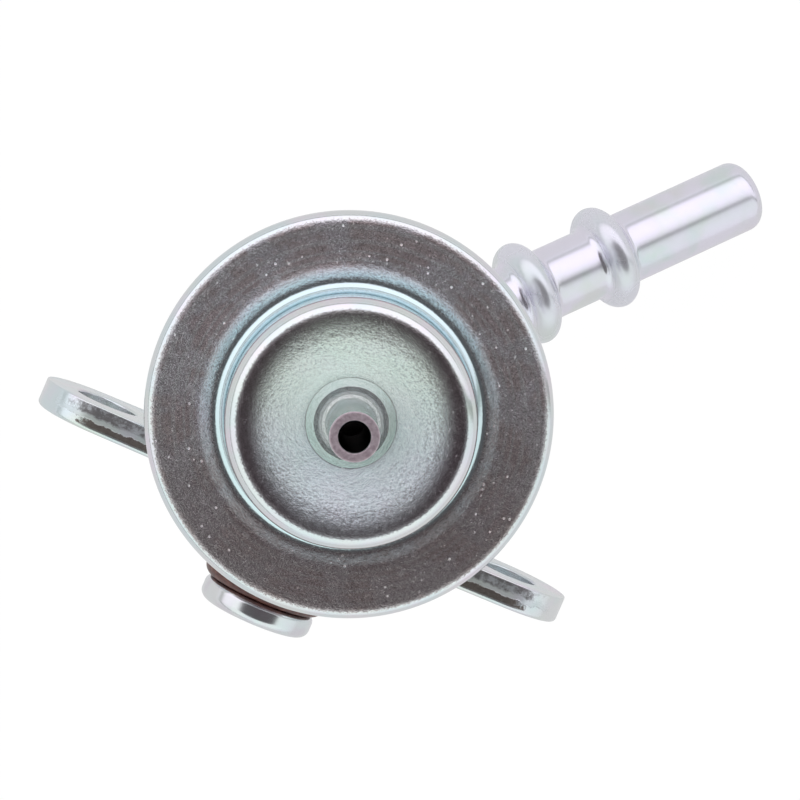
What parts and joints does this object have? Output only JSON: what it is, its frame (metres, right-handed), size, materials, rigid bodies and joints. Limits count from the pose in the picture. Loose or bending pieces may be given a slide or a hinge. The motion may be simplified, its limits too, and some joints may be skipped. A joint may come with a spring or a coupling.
{
  "type": "fuel pressure regulator",
  "caption": "Crimped steel diaphragm can with a vacuum nipple, an eared bolt plate with an O-ring inlet spigot and a bent, beaded return tube. A sprung valve inside holds the fuel pressure.",
  "frame": {"origin": "centre of the bolt pattern, on the mounting face at the inlet spigot's axis", "axes": "+X along the plate's ears, -Y out of the mounting face along the spigot, +Z parallel to the can's axis towards the vacuum nipple"},
  "size_m": [0.0653, 0.062, 0.0746],
  "materials": {
    "zinc_plate": "zinc plate with a clear blue passivation, faintly iridescent",
    "o_ring_rubber": "red-brown fuel-proof rubber",
    "diaphragm_rubber": "black rubber on fabric",
    "spring_steel": "drawn spring wire",
    "stainless": "turned and drawn stainless steel"
  },
  "bodies": {
    "housing": {"spring_cover": "zinc_plate", "vacuum_nipple": "zinc_plate", "fuel_body": "zinc_plate", "mounting_plate": "zinc_plate", "inlet_spigot": "zinc_plate", "inlet_o_ring": "o_ring_rubber", "return_tube": "zinc_plate", "valve_seat": "stainless", "diaphragm": "diaphragm_rubber", "main_spring": "spring_steel"},
    "valve": {"spring_cup": "stainless", "backing_washer": "stainless", "valve_holder": "stainless", "valve_ball": "stainless", "ball_spring": "spring_steel"}
  },
  "joints": [
    {"name": "valve_lift", "type": "slide", "parent": "housing", "child": "valve", "axis": [0, 0, 1], "range_m": [0, 0.0008], "stiffness_N_per_m": 30000, "deforming": ["main_spring", "diaphragm"]}
  ]
}
